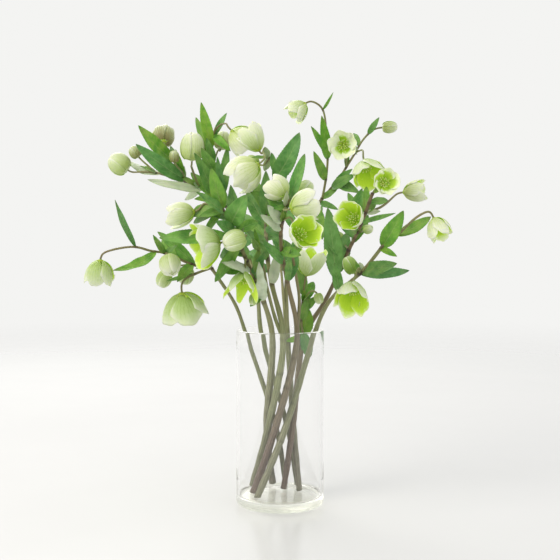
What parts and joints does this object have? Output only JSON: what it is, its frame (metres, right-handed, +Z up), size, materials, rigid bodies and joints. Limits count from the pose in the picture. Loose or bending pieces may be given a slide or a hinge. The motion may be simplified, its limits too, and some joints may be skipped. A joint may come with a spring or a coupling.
{
  "type": "hellebore flowers in a glass vase",
  "caption": "Loose bunch of green hellebore stems with nodding cup-shaped blooms, buds and leaves, standing in a clear glass cylinder vase.",
  "frame": {"origin": "centre of the vase's underside, on the surface it stands on", "axes": "+Z up along the vase's axis; +X to the right and -Y to the front of the bunch"},
  "size_m": [0.3974, 0.2989, 0.4768],
  "materials": {
    "glass": "clear smooth glass with a faint green-yellow tint in the thick base",
    "greenery": "living stems and leaves: satin mid-green blades with paler veins and undersides, olive to brown-purple stems",
    "tepals": "soft satin petals, cream to pale lime outside with green veins, vivid lime inside"
  },
  "bodies": {
    "root": {"vase": "glass", "leafy_stem_far_left": "greenery", "bloom_far_left_1": "tepals", "bloom_far_left_2": "tepals", "bud_far_left_3": "tepals", "bud_far_left_4": "tepals", "bud_far_left_5": "tepals", "leafy_stem_upper_left": "greenery", "bud_upper_left_1": "tepals", "bud_upper_left_2": "tepals", "bloom_upper_left_3": "tepals", "bud_upper_left_4": "tepals", "bud_upper_left_5": "tepals", "bloom_upper_left_6": "tepals", "bud_upper_left_7": "tepals", "leafy_stem_front_left": "greenery", "bloom_front_left_1": "tepals", "bud_front_left_2": "tepals", "bloom_front_left_3": "tepals", "bloom_front_left_4": "tepals", "bud_front_left_5": "tepals", "leafy_stem_centre": "greenery", "bloom_centre_1": "tepals", "bloom_centre_2": "tepals", "bud_centre_3": "tepals", "leafy_stem_front_centre": "greenery", "bloom_front_centre_1": "tepals", "bloom_front_centre_2": "tepals", "bud_front_centre_3": "tepals", "bloom_front_centre_4": "tepals", "leafy_stem_right": "greenery", "bloom_right_1": "tepals", "bloom_right_2": "tepals", "bud_right_3": "tepals", "leafy_stem_upper_right": "greenery", "bloom_upper_right_1": "tepals", "bloom_upper_right_2": "tepals", "bud_upper_right_3": "tepals", "bloom_upper_right_4": "tepals", "bud_upper_right_5": "tepals", "bloom_upper_right_6": "tepals", "bud_upper_right_7": "tepals", "leafy_stem_top": "greenery", "bloom_top_1": "tepals", "bud_top_2": "tepals", "bloom_top_3": "tepals", "bloom_top_4": "tepals"}
  },
  "joints": []
}
